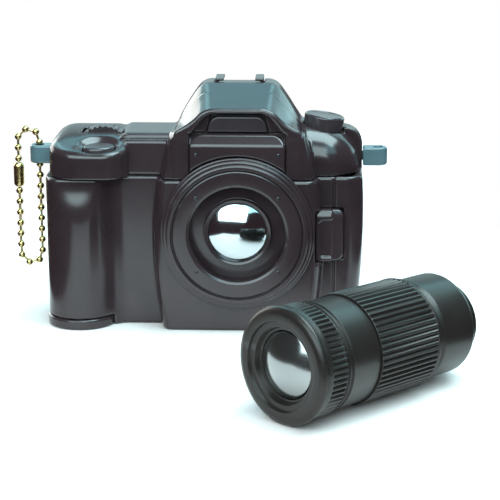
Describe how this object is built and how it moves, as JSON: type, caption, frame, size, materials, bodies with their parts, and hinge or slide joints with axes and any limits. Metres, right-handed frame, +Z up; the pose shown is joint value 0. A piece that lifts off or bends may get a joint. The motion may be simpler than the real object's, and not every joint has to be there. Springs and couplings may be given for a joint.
{
  "type": "toy camera",
  "caption": "Small black toy reflex camera with a sprung shutter button, turning dials, an open lens mount, a loose telephoto lens with turning rings and a brass ball chain on its strap lug.",
  "frame": {"origin": "on the camera's flat base, straight under the axis of its lens mount", "axes": "+Z up, -Y the way the lens mount looks, -X towards the grip, so +X is to the viewer's right"},
  "size_m": [0.1499, 0.1365, 0.0811],
  "materials": {
    "black_shell": "satin gloss",
    "black_trim": "satin",
    "lens_black": "matt",
    "mirror_dome": "polished",
    "clear_lens": "polished",
    "steel": "plain",
    "brass": "polished"
  },
  "bodies": {
    "camera": {"front_shell": "black_shell", "rear_shell": "black_shell", "rear_panel": "black_trim", "top_cover": "black_shell", "front_panel": "black_shell", "name_plate": "black_trim", "panel_screw_1": "steel", "panel_screw_2": "steel", "case_screw_1": "steel", "case_screw_2": "steel", "case_screw_3": "steel", "case_screw_4": "steel", "grip_cap": "black_shell", "cap_screw": "steel", "mount_ring": "black_shell", "mount_cone": "black_shell", "taking_lens": "mirror_dome", "mount_screw_1": "steel", "mount_screw_2": "steel", "mount_screw_3": "steel", "mount_screw_4": "steel", "shutter_spring": "steel", "release_spring": "steel", "command_axle": "steel", "accessory_shoe": "black_shell", "strap_lug_right": "black_shell", "strap_lug_left": "black_shell", "eyepiece_frame": "black_trim", "eyepiece_window": "clear_lens", "ball_chain": "brass", "chain_coupling": "brass"},
    "shutter": {"shutter_button": "black_trim"},
    "command_wheel": {"command_dial": "black_trim"},
    "mode_knob": {"mode_dial": "black_trim", "dial_clip": "steel"},
    "lens_release": {"release_button": "black_shell"},
    "tele_lens": {"tele_front_rim": "lens_black", "tele_front_lens": "clear_lens", "tele_lens_cell": "lens_black", "tele_core": "lens_black", "tele_mid_barrel": "lens_black", "tele_rear_lens": "clear_lens", "tele_mount_stub": "lens_black"},
    "focus_grip": {"tele_focus_ring": "lens_black"},
    "zoom_grip": {"tele_zoom_ring": "lens_black"}
  },
  "joints": [
    {"name": "shutter_press", "type": "slide", "parent": "camera", "child": "shutter", "axis": [0, 0, -1], "range_m": [0, 0.0012], "stiffness_N_per_m": 300, "springref_m": -0.002, "deforming": ["shutter_spring"]},
    {"name": "release_press", "type": "slide", "parent": "camera", "child": "lens_release", "axis": [0, 1, 0], "range_m": [0, 0.0015], "stiffness_N_per_m": 300, "springref_m": -0.002, "deforming": ["release_spring"]},
    {"name": "command_turn", "type": "hinge", "parent": "camera", "child": "command_wheel", "pos_m": [-0.045, -0.002, 0.0561], "axis": [0, 1, 0], "continuous": true},
    {"name": "mode_turn", "type": "hinge", "parent": "camera", "child": "mode_knob", "pos_m": [0.0277, 0.001, 0.0649], "axis": [0.1395, 0, 0.9902], "continuous": true},
    {"name": "tele_lift", "type": "slide", "parent": "camera", "child": "tele_lens", "axis": [0, 0, 1], "range_m": [0, 0.08]},
    {"name": "focus_turn", "type": "hinge", "parent": "tele_lens", "child": "focus_grip", "pos_m": [0.0154, -0.1088, 0.01712], "axis": [0.7017, 0.7124, -0.0126], "continuous": true},
    {"name": "zoom_turn", "type": "hinge", "parent": "tele_lens", "child": "zoom_grip", "pos_m": [0.0154, -0.1088, 0.01712], "axis": [0.7017, 0.7124, -0.0126], "continuous": true}
  ]
}
